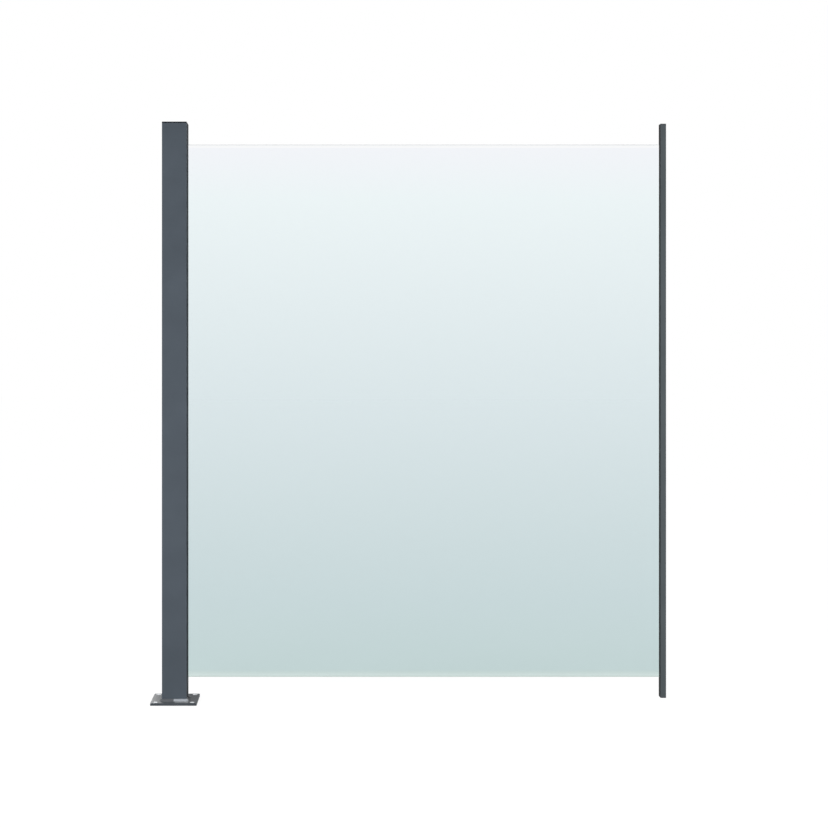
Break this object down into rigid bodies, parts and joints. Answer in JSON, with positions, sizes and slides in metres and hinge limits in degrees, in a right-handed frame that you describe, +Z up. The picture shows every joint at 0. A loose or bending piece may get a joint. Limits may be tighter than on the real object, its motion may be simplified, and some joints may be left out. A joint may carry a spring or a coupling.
{
  "type": "glass railing bay with post and wall profile",
  "caption": "Fixed bay of a glass railing: a square anthracite post welded on a base plate, a clear glass sheet held in grooves by black gaskets, and a slim wall profile.",
  "frame": {"origin": "centre of the base plate's underside, on the ground", "axes": "+X along the railing from the post to the wall, +Y from the front to the rear across the glass, +Z up"},
  "size_m": [1.677, 0.15, 1.889],
  "materials": {
    "coated_aluminium": "satin",
    "coated_plate": "satin",
    "weld_bead": "gloss",
    "coated_strip": "satin",
    "coated_bar": "satin",
    "clear_glass": "polished",
    "black_gasket": "matte",
    "black_cap": "matte",
    "grey_cap": "matte"
  },
  "bodies": {
    "root": {"base_plate": "coated_plate", "base_weld_front": "weld_bead", "base_weld_rear": "weld_bead", "post": "coated_aluminium", "post_cap": "black_cap", "outer_groove_cover": "coated_strip", "glass_panel": "clear_glass", "post_gasket_front": "black_gasket", "post_gasket_rear": "black_gasket", "wall_gasket_front": "black_gasket", "wall_gasket_rear": "black_gasket", "wall_profile": "coated_aluminium", "wall_profile_top_cap": "grey_cap", "wall_profile_bottom_cap": "grey_cap", "post_glass_rest": "coated_bar", "wall_glass_rest": "coated_bar", "post_setting_pad": "black_gasket", "wall_setting_pad": "black_gasket", "post_filler_bar": "coated_bar", "wall_filler_bar": "coated_bar"}
  },
  "joints": []
}
